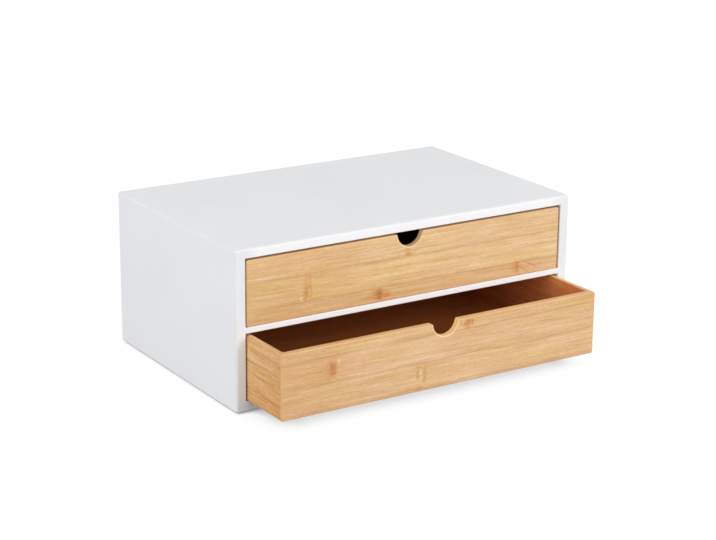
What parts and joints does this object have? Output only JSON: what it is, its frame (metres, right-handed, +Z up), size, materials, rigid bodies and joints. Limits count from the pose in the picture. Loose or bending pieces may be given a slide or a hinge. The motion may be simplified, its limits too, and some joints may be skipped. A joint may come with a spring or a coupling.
{
  "type": "desktop mini drawers",
  "caption": "Desktop drawer unit: a white painted box with a thin shelf between stacked bamboo drawers that slide out by half-round finger notches.",
  "frame": {"origin": "on the desk, under the middle of the cabinet's footprint", "axes": "+X to the right as seen from the front, +Y to the back, +Z up; the drawers open towards -Y"},
  "size_m": [0.33, 0.261, 0.1375],
  "materials": {
    "white_paint": "satin white paint on fibreboard",
    "bamboo": "sanded bamboo with a matt clear coat",
    "bamboo_board": "thin bamboo board with a matt clear coat",
    "dowel_wood": "plain turned wood",
    "wire_steel": "flat steel wire of the staples and brads",
    "pad_rubber": "matt grey pad"
  },
  "bodies": {
    "cabinet": {"left_side": "white_paint", "right_side": "white_paint", "top_panel": "white_paint", "bottom_panel": "white_paint", "middle_shelf": "white_paint", "back_panel": "white_paint", "corner_dowels": "dowel_wood", "back_staples": "wire_steel", "foot_pads": "pad_rubber"},
    "upper_drawer": {"upper_drawer_front": "bamboo", "upper_drawer_left_side": "bamboo", "upper_drawer_right_side": "bamboo", "upper_drawer_back": "bamboo", "upper_drawer_bottom": "bamboo_board", "upper_drawer_brads": "wire_steel"},
    "lower_drawer": {"lower_drawer_front": "bamboo", "lower_drawer_left_side": "bamboo", "lower_drawer_right_side": "bamboo", "lower_drawer_back": "bamboo", "lower_drawer_bottom": "bamboo_board", "lower_drawer_brads": "wire_steel"}
  },
  "joints": [
    {"name": "upper_drawer_slide", "type": "slide", "parent": "cabinet", "child": "upper_drawer", "axis": [0, -1, 0], "range_m": [0, 0.15]},
    {"name": "lower_drawer_slide", "type": "slide", "parent": "cabinet", "child": "lower_drawer", "axis": [0, -1, 0], "range_m": [-0.0535, 0.0965]}
  ]
}
